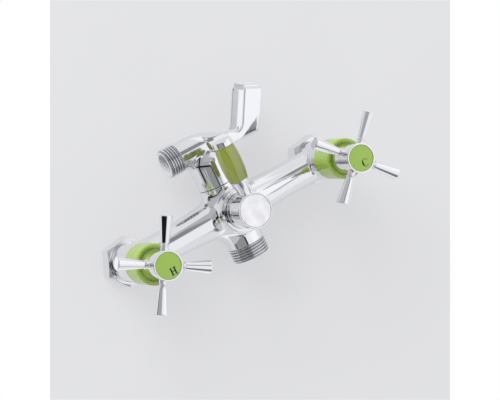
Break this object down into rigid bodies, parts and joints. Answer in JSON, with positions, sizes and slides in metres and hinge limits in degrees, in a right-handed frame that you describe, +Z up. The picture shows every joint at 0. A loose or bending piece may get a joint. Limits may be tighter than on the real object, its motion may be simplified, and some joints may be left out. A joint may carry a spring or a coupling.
{
  "type": "bath and shower mixer",
  "caption": "Wall mounted bath mixer with cross handles, a lever diverter, a hose outlet and a swivelling fork for the hand shower",
  "frame": {"origin": "in the plane of the wall, midway between the two inlets", "axes": "+X from the hot inlet to the cold one, -Y out of the wall to the user, +Z up"},
  "size_m": [0.2045, 0.0833, 0.1074],
  "materials": {
    "chrome": "polished chrome plate",
    "green_plastic": "glossy lime green plastic",
    "olive_plastic": "glossy olive green plastic",
    "index_plastic": "lime green disc with a pale letter",
    "brass": "turned, plain",
    "steel": "stainless, plain",
    "ceramic": "ground and lapped",
    "rubber": "black, moulded",
    "fibre": "dark grey flat washer",
    "seat_plastic": "white low friction plastic"
  },
  "bodies": {
    "mixer_body": {"body_casting": "chrome", "diverter_seat_top": "seat_plastic", "diverter_seat_bottom": "seat_plastic", "diverter_gland": "chrome", "diverter_gasket": "rubber", "bracket_rings": "rubber", "hot_inlet_nipple": "brass", "hot_inlet_washer": "fibre", "hot_seat_seal": "rubber", "hot_fixed_disc": "ceramic", "hot_bonnet": "brass", "hot_bonnet_gasket": "rubber", "hot_sleeve": "green_plastic", "cold_inlet_nipple": "brass", "cold_inlet_washer": "fibre", "cold_seat_seal": "rubber", "cold_fixed_disc": "ceramic", "cold_bonnet": "brass", "cold_bonnet_gasket": "rubber", "cold_sleeve": "green_plastic"},
    "hot_handle": {"hot_moving_disc": "ceramic", "hot_spindle": "brass", "hot_spindle_rings": "rubber", "hot_spindle_clip": "steel", "hot_handle_hub": "chrome", "hot_handle_arm_1": "chrome", "hot_handle_arm_2": "chrome", "hot_handle_arm_3": "chrome", "hot_handle_arm_4": "chrome", "hot_handle_screw": "steel", "hot_cap_ring": "chrome", "hot_index_disc": "index_plastic"},
    "hot_nut": {"hot_union_nut": "chrome"},
    "cold_handle": {"cold_moving_disc": "ceramic", "cold_spindle": "brass", "cold_spindle_rings": "rubber", "cold_spindle_clip": "steel", "cold_handle_hub": "chrome", "cold_handle_arm_1": "chrome", "cold_handle_arm_2": "chrome", "cold_handle_arm_3": "chrome", "cold_handle_arm_4": "chrome", "cold_handle_screw": "steel", "cold_cap_ring": "chrome", "cold_index_disc": "index_plastic"},
    "cold_nut": {"cold_union_nut": "chrome"},
    "diverter": {"diverter_ball": "brass", "diverter_stem": "brass", "diverter_stem_rings": "rubber", "diverter_stem_clip": "steel", "diverter_knob": "chrome", "diverter_knob_screw": "steel", "diverter_knob_face": "chrome", "lever_stem": "chrome", "lever_grip": "olive_plastic", "lever_cap": "chrome"},
    "bracket": {"shower_bracket": "chrome", "bracket_latch_screw": "steel"}
  },
  "joints": [
    {"name": "hot_handle_turn", "type": "hinge", "parent": "mixer_body", "child": "hot_handle", "pos_m": [-0.075, 0, 0], "axis": [0, -1, 0], "range_deg": [0, 180]},
    {"name": "cold_handle_turn", "type": "hinge", "parent": "mixer_body", "child": "cold_handle", "pos_m": [0.075, 0, 0], "axis": [0, -1, 0], "range_deg": [0, 180]},
    {"name": "diverter_turn", "type": "hinge", "parent": "mixer_body", "child": "diverter", "pos_m": [0, 0, 0], "axis": [0, -1, 0], "range_deg": [0, 180]},
    {"name": "bracket_swivel", "type": "hinge", "parent": "mixer_body", "child": "bracket", "pos_m": [0, -0.022, 0.0475], "axis": [0, 0, 1], "range_deg": [-25, 10]},
    {"name": "hot_nut_spin", "type": "hinge", "parent": "mixer_body", "child": "hot_nut", "pos_m": [-0.075, 0, 0], "axis": [0, 1, 0], "continuous": true},
    {"name": "cold_nut_spin", "type": "hinge", "parent": "mixer_body", "child": "cold_nut", "pos_m": [0.075, 0, 0], "axis": [0, 1, 0], "continuous": true}
  ]
}
